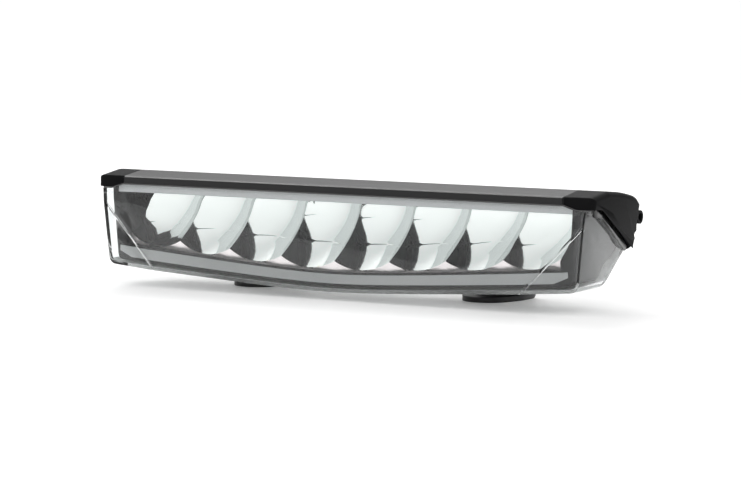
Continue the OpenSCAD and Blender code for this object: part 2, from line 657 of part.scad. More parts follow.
// Light sources on their board under the shelf
chip_w = 5;
chip_t = emitter_t - 0.1;
dome_r = 1.8;
board_edge = 3;
board_front = shelf_y + board_edge + over;
board_gap = 2;
board_rear = rear_y - board_gap;
function emitter_x(i) = (i + 0.5) * bowl_pitch - bank_half;
function emitter_y(i) = bowl_back(emitter_x(i)) - curve4(emitter_x(i)) / 4;
module led_board() color("#e6e8e4") difference() {
    translate([board_edge - bank_half, board_front, shelf_z - board_t])
        cube([2 * (bank_half - board_edge), board_rear - board_front, board_t]);
    for (p = concat(posts, board_holes))
        rod_z(shelf_z - board_t - over, shelf_z + over, p[0], p[1], small_screw_r + screw_gap);
}
module led_emitters() color("#f3e9a8") for (i = [0:bowl_count - 1])
    translate([emitter_x(i), emitter_y(i), shelf_z - board_t - chip_t]) {
        translate([-chip_w / 2, -chip_w / 2, 0]) cube([chip_w, chip_w, chip_t]);
        intersection() {
            sphere(r = dome_r, $fn = round_fn);
            translate([-chip_w, -chip_w, -chip_w]) cube([2 * chip_w, 2 * chip_w, chip_w + chip_t / 4]);
        }
    }
head_h = 2;
head_r = 1.8 * small_screw_r;
head_gap = 0.6;
module reflector_screws() color("#8f9193") for (p = posts) {
    rod_z(shelf_top, shelf_top + head_h, p[0], p[1], head_r);
    rod_z(bank_top - post_h + 2 * post_end, shelf_top + over, p[0], p[1], small_screw_r);
}
module led_board_screws() color("#8f9193") for (p = board_holes) {
    rod_z(shelf_z - board_t - head_h, shelf_z - board_t, p[0], p[1], head_r);
    rod_z(shelf_z - board_t - over, shelf_top - bank_gap, p[0], p[1], small_screw_r);
}

// Driver electronics, whose board slides in grooves of the ribs in the housing's chamber
groove_gap = 0.15;
groove_d = 1.2;
driver_gap = 1;
driver_half = 2.6 * bowl_pitch;
driver_z = shelf_top + driver_gap;
driver_y0 = shelf_y + rib_t - groove_d + groove_gap;
driver_d = rear_y - rear_rib + groove_d - groove_gap - driver_y0;
link_back = 4;
link_y = ridge_y + link_back;
link_size = [18, 5];
part_z = driver_z + board_t;
part_h = 3.6;
coil_w = 10;
can_r = 4;
ic_size = [8, 6, 1.6];
module driver_board() color("#24573a") difference() {
    translate([-driver_half, driver_y0, driver_z]) cube([2 * driver_half, driver_d, board_t]);
    for (p = posts) rod_z(driver_z - over, part_z + over, p[0], p[1], head_r + head_gap);
}
module driver_inductors() color("#2b2b2e") for (k = [-2.2, -1.5, 1.5, 2.2])
    translate([k * bowl_pitch - coil_w / 2, driver_y0 + coil_w / 3, part_z]) cube([coil_w, coil_w, part_h]);
module driver_capacitors() color("#b8babd") for (k = [-7:2:7])
    rod_z(part_z, part_z + part_h, k * bowl_pitch / 6, driver_y0 + 2 * can_r, can_r);
module driver_chips() color("#17171a") for (k = [-1.85, -0.35, 0.35, 1.85])
    translate([k * bowl_pitch - ic_size[0] / 2, driver_y0 + driver_d - 2.5 * ic_size[1], part_z]) cube(ic_size);
module board_link() color("#d8d4c4") translate([link_x - link_size[0] / 2, link_y - link_size[1] / 2, shelf_z])
    cube([link_size[0], link_size[1], driver_z - shelf_z]);

// Lower strip: light guide in the bezel's slot, with its own board and small emitters behind it
guide_flange = 0.7;
guide_gap = 0.05;
guide_back = bezel_in + guide_t - bezel_wall;
led_t = 1;
strip_board_t = 1.2;
strip_board_half = strip_end - 2.5 * strip_bevel;
led_size = [3, 2];
module layer(d0, d1) difference() {
    lens_form(d0, side = bezel_side);
    lens_form(d1, lens_rear + over, bezel_side);
}
module position_light_guide() color("#a9adb0") {
    intersection() { layer(bezel_d, bezel_in + over / 2); along_y(-reach_y, strip_rear) strip_2d(-guide_gap); }
    intersection() { layer(bezel_in, guide_back); along_y(-reach_y, strip_rear) strip_2d(guide_flange); }
}
module position_light_leds() color("#f2eccb") intersection() {
    layer(guide_back, guide_back + led_t);
    along_y(-reach_y, strip_rear) for (k = steps(-0.96, 0.96, 11)) let (x = k * strip_board_half)
        translate([x - led_size[0] / 2, (strip_top(x) + strip_bottom(x) - led_size[1]) / 2]) square(led_size);
}
module position_light_board() color("#e2e4df") intersection() {
    layer(guide_back + led_t, guide_back + led_t + strip_board_t);
    along_y(-reach_y, strip_rear) intersection() {
        strip_2d(-led_t);
        translate([-strip_board_half, box_low]) square([2 * strip_board_half, -box_low]);
    }
}

// Rear wall fittings: cable inlet on one side and vent on the other
hex_r = 9;
flange_h = 4;
neck_h = 9;
bush_t = 1.6;
bush_h = 7;
nut_h = 11;
crown_h = 4;
lock_h = 3;
fit_gap = 0.02;
vent_h = 7;
vent_slot = [2, 1.4, 1.6];
module hex_y(y0, y1, x, r) translate([x, y1, -inlet_drop]) rotate([90, 0, 0])
    cylinder(h = y1 - y0, r = r, $fn = 6);
module inlet_rod(y0, y1, r) rod_y(y0, y1, -inlet_x, -inlet_drop, r);
module cable_gland() color("#222224") difference() {
    union() {
        inlet_rod(rear_y - 2 * lock_h, wall_out + over, inlet_r);
        hex_y(wall_out, wall_out + flange_h, -inlet_x, hex_r);
        inlet_rod(wall_out + flange_h - over, wall_out + neck_h, inlet_r);
    }
    inlet_rod(rear_y - 3 * lock_h, wall_out + neck_h, cable_r + bush_t / 2);
    inlet_rod(wall_out + flange_h + over, wall_out + neck_h + over, cable_r + bush_t);
}
module gland_bush() color("#2f2f30") difference() {
    inlet_rod(wall_out + flange_h + over, wall_out + flange_h + over + bush_h, cable_r + bush_t);
    inlet_rod(wall_out + flange_h, wall_out + flange_h + 2 * over + bush_h, cable_r);
}
module gland_nut() color("#222224") difference() {
    union() {
        hex_y(wall_out + flange_h + screw_gap, wall_out + nut_h, -inlet_x, hex_r);
        translate([-inlet_x, wall_out + nut_h + crown_h, -inlet_drop]) rotate([90, 0, 0])
            cylinder(h = crown_h, r1 = cable_r + 1.4 * bush_t, r2 = 0.84 * hex_r, $fn = round_fn);
    }
    inlet_rod(wall_out + flange_h, wall_out + neck_h + fit_gap, inlet_r + fit_gap);
    inlet_rod(wall_out + neck_h, wall_out + flange_h + over + bush_h, cable_r + bush_t + fit_gap);
    inlet_rod(wall_out + nut_h, wall_out + nut_h + crown_h + over, cable_r + inlet_gap);
}
module gland_locknut() color("#8f9193") difference() {
    hex_y(rear_y - lock_h, rear_y, -inlet_x, hex_r - groove_gap);
    inlet_rod(rear_y - lock_h - over, rear_y + over, inlet_r + fit_gap);
}
module vent_plug() color("#222224") difference() {
    union() {
        rod_y(rear_y - lock_h, wall_out + over, inlet_x, -inlet_drop, inlet_r);
        hex_y(wall_out, wall_out + lock_h, inlet_x, hex_r - over);
        rod_y(wall_out + lock_h - over, wall_out + vent_h, inlet_x, -inlet_drop, inlet_r + over / 2);
    }
    rod_y(rear_y - lock_h - over, wall_out + flange_h, inlet_x, -inlet_drop, inlet_r - vent_slot[0]);
    for (a = [0:60:300]) translate([inlet_x, 0, -inlet_drop]) rotate([0, a, 0])
        translate([inlet_r - over / 2, wall_out + flange_h + over / 2, -vent_slot[2] / 2]) cube(vent_slot);
}

// Brackets: bent metal from the slot's underside, down the rear and forward to a rounded foot
bend_in = 2;
bend_r = bracket_t + bend_in;
foot_top = bracket_t - edge_h;
flange_z = -keel_z - bracket_t;
riser_y = rear_y + slot_block_w + bracket_t;
nose_half = 17;
nose_back = 10;
side_r = 12;
washer_t = 1;
washer_w = 3;
nut_t = 5;
nut_w = 10;
head_w = 2;
bolt_gap = 0.3;
bolt_x = [for (s = [-1, 1], t = [-1, 1]) (s * foot_spacing + t * bolt_spacing) / 2];
head_top = flange_z - washer_t;
module bracket_2d() polygon(rounded([[rear_y, -keel_z, 0], [rear_y, flange_z, 0],
    [riser_y - bracket_t, flange_z, bend_in], [riser_y - bracket_t, foot_top, bend_in],
    [foot_front, foot_top, 0], [foot_front, -edge_h, 0], [riser_y, -edge_h, bend_r],
    [riser_y, -keel_z, bend_r]]));
module plan_2d() polygon(rounded([[-nose_half, foot_front, nose_half], [nose_half, foot_front, nose_half],
    [bracket_w / 2, foot_hole_y + nose_back, side_r], [bracket_w / 2, riser_y + over, 0],
    [-bracket_w / 2, riser_y + over, 0], [-bracket_w / 2, foot_hole_y + nose_back, side_r]], 8));
module bracket() translate([foot_spacing / 2, 0, 0]) difference() {
    intersection() {
        along_x(-bracket_w, bracket_w) bracket_2d();
        translate([0, 0, -edge_h - over]) linear_extrude(edge_h) plan_2d();
    }
    rod_z(-edge_h - over, foot_top + over, 0, foot_hole_y, foot_hole_r);
    for (t = [-1, 1]) rod_z(flange_z - over, over - keel_z, t * bolt_spacing / 2, slot_y, bolt_r + bolt_gap);
}
module bracket_left() color("#1b1b1c") mirror([1, 0, 0]) bracket();
module bracket_right() color("#1b1b1c") bracket();
module bracket_bolts() color("#2c2c2e") for (x = bolt_x) difference() {
    union() {
        rod_z(head_top - over, slot_floor + nut_t + bolt_gap, x, slot_y, bolt_r);
        rod_z(head_top - 2 * bolt_r, head_top, x, slot_y, bolt_r + head_w);
    }
    translate([x, slot_y, head_top - 2 * bolt_r - over])
        cylinder(h = bolt_r + over, r = 0.95 * bolt_r, $fn = 6);
}
module bracket_washers() color("#8f9193") for (x = bolt_x) difference() {
    rod_z(head_top, flange_z, x, slot_y, bolt_r + washer_w);
    rod_z(head_top - over, flange_z + over, x, slot_y, bolt_r + screw_gap);
}
module channel_nuts() color("#8f9193") for (x = bolt_x) difference() {
    translate([x - nut_w / 2, slot_y - nut_w / 2, slot_floor]) cube([nut_w, nut_w, nut_t]);
    rod_z(slot_floor - over, slot_floor + nut_t + over, x, slot_y, bolt_r + thread_gap);
}

// From the lamp frame to the part's own frame
front_most = front_y(lens_bottom(0), 0);
rear_most = max(lobe[0] + lobe_r, riser_y);
module place() translate([0, -(front_most + rear_most) / 2, edge_h]) children();

place() housing();
place() end_cap_left();
place() end_cap_right();
place() end_gasket_left();
place() end_gasket_right();
place() end_cap_screws();
place() lens_cover();
place() lens_gasket();
place() inner_bezel();
place() upper_trim();
place() reflector_bank();
place() reflector_screws();
place() led_board();
place() led_emitters();
place() led_board_screws();
place() driver_board();
place() driver_inductors();
place() driver_capacitors();
place() driver_chips();
place() board_link();
place() position_light_guide();
place() position_light_board();
place() position_light_leds();
place() vent_plug();
place() cable_gland();
place() gland_nut();
place() gland_bush();
place() gland_locknut();
place() bracket_left();
place() bracket_right();
place() bracket_bolts();
place() bracket_washers();
place() channel_nuts();
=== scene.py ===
import logging
import math
from collections.abc import Callable
from dataclasses import dataclass, field, replace
from enum import Enum

import bpy
from mathutils import Euler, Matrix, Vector


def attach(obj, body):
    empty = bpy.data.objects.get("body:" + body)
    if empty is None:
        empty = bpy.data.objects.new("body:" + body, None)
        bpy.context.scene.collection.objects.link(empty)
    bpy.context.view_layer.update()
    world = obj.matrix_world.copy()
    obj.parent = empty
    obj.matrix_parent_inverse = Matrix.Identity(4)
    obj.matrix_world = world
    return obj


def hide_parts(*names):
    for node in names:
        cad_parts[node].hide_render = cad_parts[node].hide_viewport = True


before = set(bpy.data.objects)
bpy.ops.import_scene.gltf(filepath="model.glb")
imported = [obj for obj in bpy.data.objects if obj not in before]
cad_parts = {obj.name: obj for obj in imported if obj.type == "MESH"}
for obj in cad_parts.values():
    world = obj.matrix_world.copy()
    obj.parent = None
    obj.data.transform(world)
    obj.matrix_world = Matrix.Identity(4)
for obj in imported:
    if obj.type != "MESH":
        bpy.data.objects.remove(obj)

"""Looks of a car driving light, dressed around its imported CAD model.

The lamp stands on two feet on the floor, its lens towards -Y. Lengths are metres, or millimetres where a name
or a docstring says so. Each sub-assembly is a class that makes its pieces and gives them their finishes.
"""

log = logging.getLogger("driving_light")
MM = 0.001
# Size of the slow patches in which a surface's colour wanders.
CLOUD_MM = 45.0
# Points of a CAD mesh nearer than this are one point.
MERGE_MM = 0.002
# Triangles that meet at less than this many degrees are one flat face.
FLAT_ANGLE = 0.5
# A face looks a way when at least this share of its normal points there.
FACING = 0.5
Colour = tuple[float, float, float, float]
Socket = str | int
Link = tuple[bpy.types.Node, Socket]


class Grain(Enum):
    """How a surface was left by its making, which sets the direction of its fine texture."""

    EXTRUDED = (0.03, 1.0, 1.0)
    CAST = (1.0, 1.0, 1.0)
    BRUSHED = (1.0, 0.05, 1.0)


def linear(code: str) -> Colour:
    """Turns an sRGB hex colour into the linear colour that shaders use.

    Args:
        code: Six hex digits, as "#1c1c1d".

    Returns:
        The linear red, green and blue, with an alpha of one.
    """
    channels = (int(code[i : i + 2], 16) / 255 for i in (1, 3, 5))
    r, g, b = (c / 12.92 if c <= 0.04045 else ((c + 0.055) / 1.055) ** 2.4 for c in channels)
    return (r, g, b, 1.0)


def per_metre(size_mm: float) -> float:
    """Returns the texture scale at which one repeat of a pattern is size_mm wide."""
    return 1.0 / (size_mm * MM)


def add_node(
    tree: bpy.types.NodeTree,
    kind: str,
    settings: dict[str, object] | None = None,
    values: dict[Socket, object] | None = None,
    links: dict[Socket, Link] | None = None,
) -> bpy.types.Node:
    """Adds one node with its settings, socket values and incoming links.

    Args:
        tree: The node tree that gets the node.
        kind: The node's type name.
        settings: Attributes of the node itself.
        values: Values for its input sockets, by socket name or index.
        links: For an input socket's name or index, the node and output socket that feed it.

    Returns:
        The new node.
    """
    node = tree.nodes.new(kind)
    for key, value in (settings or {}).items():
        setattr(node, key, value)
    for key, value in (values or {}).items():
        node.inputs[key].default_value = value
    for key, (source, socket) in (links or {}).items():
        tree.links.new(source.outputs[socket], node.inputs[key])
    return node


def new_material(name: str) -> tuple[bpy.types.Material, bpy.types.NodeTree, bpy.types.Node]:
    """Starts an empty node material.

    Args:
        name: The material's name.

    Returns:
        The material, its node tree and its output node.
    """
    material = bpy.data.materials.new(name)
    material.use_nodes = True
    tree = material.node_tree
    tree.nodes.clear()
    return material, tree, add_node(tree, "ShaderNodeOutputMaterial")


@dataclass(frozen=True)
class Finish:
    """One real material with its surface, shown by a grain in its colour, roughness and relief.

    Attributes:
        name: What the real one is called.
        colour: Its sRGB hex colour.
        second: The colour that it wanders to.
        roughness: Its mean roughness.
        spread: How far the roughness wanders about the mean.
        grit_mm: Size of the grain that shows in the surface.
        relief_mm: Height of that grain.
        grain: Direction of the grain.
        metallic: One for bare metal.
        ior: Index of refraction of a non-metal.
        coat: Weight of a clear coat.
        sheen: Strength of its mirror light, where a half is that of the index of refraction.
    """

    name: str
    colour: str
    second: str
    roughness: float = 0.4
    spread: float = 0.06
    grit_mm: float = 0.8
    relief_mm: float = 0.02
    grain: Grain = Grain.CAST
    metallic: float = 0.0
    ior: float = 1.5
    coat: float = 0.0
    sheen: float = 0.5

    def grain_nodes(self, tree: bpy.types.NodeTree) -> tuple[Link, Link]:
        """Adds the fine grain and the slow cloud that the colour, roughness and relief follow.

        Args:
            tree: The material's node tree.

        Returns:
            Links to the grain and the cloud.
        """
        place = add_node(tree, "ShaderNodeTexCoord")
        stretch = add_node(
            tree, "ShaderNodeMapping", values={"Scale": self.grain.value}, links={"Vector": (place, "Object")}
        )
        grain = add_node(
            tree,
            "ShaderNodeTexNoise",
            values={"Scale": per_metre(self.grit_mm), "Detail": 3.0, "Roughness": 0.6},
            links={"Vector": (stretch, "Vector")},
        )
        cloud = add_node(
            tree,
            "ShaderNodeTexNoise",
            values={"Scale": per_metre(CLOUD_MM), "Detail": 2.0, "Roughness": 0.5},
            links={"Vector": (stretch, "Vector")},
        )
        return (grain, "Fac"), (cloud, "Fac")

    def shader(self, tree: bpy.types.NodeTree) -> bpy.types.Node:
        """Adds the Principled shader with grain in its colour, roughness and relief.

        Args:
            tree: The material's node tree.

        Returns:
            The shader node.
        """
        grain, cloud = self.grain_nodes(tree)
        tint = add_node(
            tree,
            "ShaderNodeMix",
            settings={"data_type": "RGBA"},
            values={6: linear(self.colour), 7: linear(self.second)},
            links={0: cloud},
        )
        rough = add_node(
            tree,
            "ShaderNodeMapRange",
            values={3: self.roughness - self.spread, 4: self.roughness + self.spread, 1: 0.25, 2: 0.75},
            links={0: grain},
        )
        relief = add_node(
            tree,
            "ShaderNodeBump",
            values={"Strength": 0.6, "Distance": self.relief_mm * MM},
            links={"Height": grain},
        )
        return add_node(
            tree,
            "ShaderNodeBsdfPrincipled",
            values={
                "Metallic": self.metallic,
                "IOR": self.ior,
                "Specular IOR Level": self.sheen,
                "Coat Weight": self.coat,
                "Coat Roughness": 0.08,
            },
            links={"Base Color": (tint, 2), "Roughness": (rough, 0), "Normal": (relief, 0)},
        )

    def material(self) -> bpy.types.Material:
        """Builds the finish as a Blender material.

        Returns:
            The material.
        """
        material, tree, output = new_material(self.name)
        tree.links.new(self.shader(tree).outputs[0], output.inputs[0])
        return material


@dataclass(frozen=True)
class ClearMoulding(Finish):
    """Clear moulded plastic, which bends what lies behind it and lets the studio's light through.

    Attributes:
        passes: How much light a shadow ray keeps at each surface.
    """

    passes: str = "#f6f8f8"

    def material(self) -> bpy.types.Material:
        """Builds the clear plastic.

        Returns:
            The material.
        """
        material, tree, output = new_material(self.name)
        grain, _ = self.grain_nodes(tree)
        relief = add_node(
            tree,
            "ShaderNodeBump",
            values={"Strength": 0.2, "Distance": self.relief_mm * MM},
            links={"Height": grain},
        )
        glass = add_node(
            tree,
            "ShaderNodeBsdfPrincipled",
            values={
                "Base Color": linear(self.colour),
                "Roughness": self.roughness,
                "IOR": self.ior,
                "Transmission Weight": 1.0,
                "Specular IOR Level": self.sheen,
            },
            links={"Normal": (relief, 0)},
        )
        open_way = add_node(tree, "ShaderNodeBsdfTransparent", values={"Color": linear(self.passes)})
        path = add_node(tree, "ShaderNodeLightPath")
        both = add_node(
            tree,
            "ShaderNodeMixShader",
            links={0: (path, "Is Shadow Ray"), 1: (glass, 0), 2: (open_way, 0)},
        )
        tree.links.new(both.outputs[0], output.inputs[0])
        return material


@dataclass(frozen=True)
class GlowPaintedBoard(Finish):
    """A white board with a painted glow: it gives off light itself, strongest around the light sources
    standing on it.

    Attributes:
        glow: Painted light that it gives off at a light source.
        glow_between: Painted light that it gives off half way between two of them.
        half_pitch_mm: Half the distance between two of them.
    """

    glow: float = 1.0
    glow_between: float = 0.5
    half_pitch_mm: float = 30.0

    def material(self) -> bpy.types.Material:
        """Builds the board with its painted glow.

        Returns:
            The material.
        """
        material, tree, output = new_material(self.name)
        shader = self.shader(tree)
        shader.inputs["Emission Color"].default_value = linear(self.second)
        place = add_node(tree, "ShaderNodeTexCoord")
        axes = add_node(tree, "ShaderNodeSeparateXYZ", links={"Vector": (place, "Object")})
        # Painted light: the board glows most at each light source and least half way between two of them.
        near = add_node(
            tree,
            "ShaderNodeMath",
            settings={"operation": "PINGPONG"},
            values={1: self.half_pitch_mm * MM},
            links={0: (axes, "X")},
        )
        glow = add_node(
            tree,
            "ShaderNodeMapRange",
            settings={"interpolation_type": "SMOOTHSTEP"},
            values={1: 0.0, 2: self.half_pitch_mm * MM, 3: self.glow_between, 4: self.glow},
            links={0: (near, 0)},
        )
        tree.links.new(glow.outputs[0], shader.inputs["Emission Strength"])
        tree.links.new(shader.outputs[0], output.inputs[0])
        return material


# Real grit and tool lines are 0.05 to 0.3 mm, too fine to show, so they are drawn 0.4 to 1 mm wide. Sizes over
# 1 mm are waves of a moulding, cloud in a plastic or tracks under lacquer, at about their real size.

# A thin even black over extruded metal, whose die lines draw the highlights out along the lamp.
BLACK_ALUMINIUM = Finish(
    "black_anodised_aluminium", "#0b0b0c", "#0e0e0f", roughness=0.36, spread=0.05, grit_mm=0.9,
    relief_mm=0.012, grain=Grain.EXTRUDED, sheen=0.4,
)
# Baked powder over a casting: a dull black with a soft orange peel and hardly a highlight.
CAST_COATING = Finish(
    "black_powder_coat", "#0f0f10", "#131314", roughness=0.5, spread=0.08, grit_mm=0.7, relief_mm=0.05,
    sheen=0.06,
)
# Clear, with the slow waves of a big moulding. The hard coat's index is low, so the black behind stays dark.
CLEAR_LENS = ClearMoulding(
    "hardcoated_polycarbonate", "#fafcfc", "#ffffff", roughness=0.0, grit_mm=30.0, relief_mm=0.015, ior=1.45,
    sheen=0.15,
)
# Spark-eroded mould: a flat dark grey that mirrors nothing.
GRAINED_PLASTIC = Finish(
    "grained_black_abs", "#202121", "#252626", roughness=0.5, grit_mm=0.5, relief_mm=0.01
)
# Screen-printed ink: pale, even and flat, so that the lip under the strip reads grey.
MASK_PRINT = Finish(
    "grey_mask_print", "#e2e4e3", "#e8eae9", roughness=0.45, spread=0.05, grit_mm=0.7, relief_mm=0.004
)
# Polished mould: a deep black with soft mirror images.
BEZEL_PLASTIC = Finish(
    "glossy_black_abs", "#070707", "#0a0a0a", roughness=0.16, spread=0.03, grit_mm=3.0, relief_mm=0.004,
    sheen=0.1,
)
# Painted moulding: an even pale grey with a silky shine.
TRIM_PLASTIC = Finish(
    "grey_satin_abs", "#d6d7d8", "#dcddde", roughness=0.25, spread=0.05, grit_mm=0.8, relief_mm=0.01
)
# Aluminium vapour on smooth plastic: a mirror with the moulding's faint long waves.
METALLISED = Finish(
    "metallised_polycarbonate", "#e6e9e9", "#ecefef", roughness=0.05, spread=0.02, grit_mm=12.0,
    relief_mm=0.02, metallic=1.0,
)
# The same vapour on a textured strip: a pale warm band that glows but mirrors nothing sharply.
APRON_SATIN = Finish(
    "satin_metallised_polycarbonate", "#fdf3f3", "#fff8f8", roughness=0.3, spread=0.03, grit_mm=0.8,
    relief_mm=0.004, metallic=1.0,
)
# Acrylic with white pigment: unlit, a cloudy grey under a glossy skin.
MILKY_ACRYLIC = Finish(
    "milky_acrylic", "#adaeae", "#b7b8b8", roughness=0.22, spread=0.04, grit_mm=2.0, relief_mm=0.01, coat=0.4
)
# Moulded rubber: dead black with a dusty bloom.
RUBBER = Finish("epdm_rubber", "#101010", "#161616", roughness=0.7, spread=0.08, grit_mm=0.6, relief_mm=0.04)
# Extruded silicone: smooth black with one long bright highlight.
SEAL_RUBBER = Finish(
    "extruded_silicone", "#121212", "#181818", roughness=0.3, spread=0.05, grit_mm=1.0, relief_mm=0.01,
    sheen=1.0, coat=0.5,
)
# Oiled black oxide: nearly black, with a thin wet shine on its edges.
DARK_SCREW = Finish(
    "blackened_steel", "#1d1d1e", "#262628", roughness=0.35, grit_mm=0.5, relief_mm=0.01, coat=0.2
)
# Zinc over turned steel: bright grey with tool lines that blur its highlights.
STEEL = Finish(
    "zinc_plated_steel", "#a9abad", "#bcbec0", roughness=0.3, spread=0.08, grit_mm=0.5, relief_mm=0.01,
    grain=Grain.BRUSHED, metallic=1.0,
)
# White lacquer with a painted glow: the board itself gives off light, strongest at its diodes, and the bowls
# mirror it as their white.
GLOW_PAINTED_BOARD = GlowPaintedBoard(
    "white_solder_mask_painted_glow", "#f5f6f4", "#fafaf8", roughness=0.4, grit_mm=0.6, relief_mm=0.004, glow=0.95,
    glow_between=0.52,
)
# White lacquer, flat, with the copper's faint relief under it.
WHITE_BOARD = Finish(
    "white_solder_mask", "#f5f6f4", "#fafaf8", roughness=0.4, spread=0.05, grit_mm=1.5, relief_mm=0.01
)
# Yellow powder in clear gel: a soft yellow under a wet shine.
PHOSPHOR = Finish(
    "phosphor_gel", "#efe39a", "#f6ecb4", roughness=0.3, spread=0.04, grit_mm=0.4, relief_mm=0.01, coat=0.5
)
# Green lacquer over copper: glossy, with the tracks' faint relief.
GREEN_BOARD = Finish(
    "green_solder_mask", "#1f5237", "#2a6243", roughness=0.35, spread=0.05, grit_mm=1.5, coat=0.3
)
# Moulded epoxy: a flat charcoal.
DARK_MOULDING = Finish("epoxy_moulding", "#1a1a1c", "#222224", roughness=0.5, grit_mm=0.4)
# Drawn aluminium: a bright can with soft highlights.
BRIGHT_CAN = Finish(
    "drawn_aluminium", "#c0c2c5", "#d0d2d4", roughness=0.28, grit_mm=0.4, relief_mm=0.01, metallic=1.0
)
# Natural nylon: a warm off-white, slightly waxy.
IVORY_PLASTIC = Finish("ivory_nylon", "#d3cfc0", "#dedacb", roughness=0.45, spread=0.05, relief_mm=0.01)
# Dyed nylon: a dull black with a fine mould grain.
INLET_PLASTIC = Finish("black_nylon", "#161617", "#1d1d1e", roughness=0.5, grit_mm=0.6, relief_mm=0.03)
# Dipped paint over bent steel: an even satin black, rounded over the edges.
BRACKET_COATING = Finish("black_e_coat", "#121213", "#19191a", roughness=0.42, grit_mm=0.6, relief_mm=0.03)


def select_only(piece: bpy.types.Object) -> None:
    """Selects one object, makes it active and leaves all others out.

    Args:
        piece: The object to work on.
    """
    bpy.ops.object.select_all(action="DESELECT")
    piece.select_set(True)
    bpy.context.view_layer.objects.active = piece


def dress(node: str, finish: bpy.types.Material) -> None:
    """Gives a CAD node's own object a finish.

    Args:
        node: The node's name.
        finish: The material for all of its slots.
    """
    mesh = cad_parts[node].data
    mesh.materials.clear()
    mesh.materials.append(finish)
    log.info("%s wears %s", node, finish.name)


@dataclass
class Workpiece:
    """A merged copy of a CAD node that is finished by hand and stands for the node.

    Attributes:
        node: The CAD node it stands for.
        slot: Name of a material slot, which is not used.
        finish: Its material.
    """

    node: str
    slot: str
    finish: bpy.types.Material
    piece: bpy.types.Object = field(init=False)

    def __post_init__(self) -> None:
        """Copies the node's mesh and merges its loose triangles into clean faces."""
        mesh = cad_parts[self.node].data.copy()
        mesh.materials.clear()
        mesh.materials.append(self.finish)
        self.piece = bpy.data.objects.new(f"{self.node}_finished", mesh)
        bpy.context.scene.collection.objects.link(self.piece)
        self.edit(lambda: bpy.ops.mesh.remove_doubles(threshold=MERGE_MM * MM))

    def edit(self, *steps: Callable[[], object]) -> None:
        """Runs edit mode operators on the whole mesh.

        Args:
            steps: Operators to run one after another, each with everything selected.
        """
        select_only(self.piece)
        bpy.ops.object.mode_set(mode="EDIT")
        for step in steps:
            bpy.ops.mesh.select_all(action="SELECT")
            step()
        bpy.ops.object.mode_set(mode="OBJECT")

    def flat_faces(self) -> None:
        """Joins coplanar triangles into whole faces, so that only real edges are left."""
        angle = math.radians(FLAT_ANGLE)
        self.edit(lambda: bpy.ops.mesh.dissolve_limited(angle_limit=angle, use_dissolve_boundaries=False))

    def modify(self, kind: str, settings: dict[str, object]) -> None:
        """Adds a modifier and applies it.

        Args:
            kind: The modifier's type.
            settings: Its settings.
        """
        select_only(self.piece)
        bpy.ops.object.modifier_add(type=kind)
        modifier = self.piece.modifiers[-1]
        for key, value in settings.items():
            setattr(modifier, key, value)
        bpy.ops.object.modifier_apply(modifier=modifier.name)

    def round_edges(self, radius_mm: float, segments: int = 2, angle: float = 30.0) -> None:
        """Rounds the edges that are sharper than an angle.

        Args:
            radius_mm: Radius of the rounding.
            segments: Faces across it.
            angle: Smallest angle in degrees of an edge that gets rounded.
        """
        self.modify(
            "BEVEL",
            {
                "width": radius_mm * MM,
                "segments": segments,
                "limit_method": "ANGLE",
                "angle_limit": math.radians(angle),
            },
        )

    def finish_off(self, angle: float = 32.0) -> bpy.types.Object:
        """Shades the piece smooth up to an angle and puts it in the node's place.

        Args:
            angle: Edges sharper than this many degrees stay sharp.

        Returns:
            The finished piece.
        """
        select_only(self.piece)
        bpy.ops.object.shade_smooth_by_angle(angle=math.radians(angle))
        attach(self.piece, "root")
        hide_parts(self.node)
        log.info("%s: %d faces, wears %s", self.piece.name, len(self.piece.data.polygons), self.finish.name)
        return self.piece


@dataclass
class HousingUnit:
    """The extruded housing with its end caps, their gaskets and screws.

    Attributes:
        edge_radius_mm: Rounding of the caps' edges.
        edge_angle: Edges of the caps sharper than this many degrees are rounded.
        shading_angle: Edges sharper than this stay sharp.
    """

    edge_radius_mm: float = 0.4
    edge_angle: float = 50.0
    shading_angle: float = 40.0

    def build(self) -> None:
        """Dresses the housing, both caps and what joins them."""
        dress("housing", BLACK_ALUMINIUM.material())
        coating = CAST_COATING.material()
        for side in ("left", "right"):
            cap = Workpiece(f"end_cap_{side}", "cast_black", coating)
            cap.flat_faces()
            cap.round_edges(self.edge_radius_mm, angle=self.edge_angle)
            cap.finish_off(self.shading_angle)
        rubber = RUBBER.material()
        for side in ("left", "right"):
            dress(f"end_gasket_{side}", rubber)
        dress("end_cap_screws", DARK_SCREW.material())


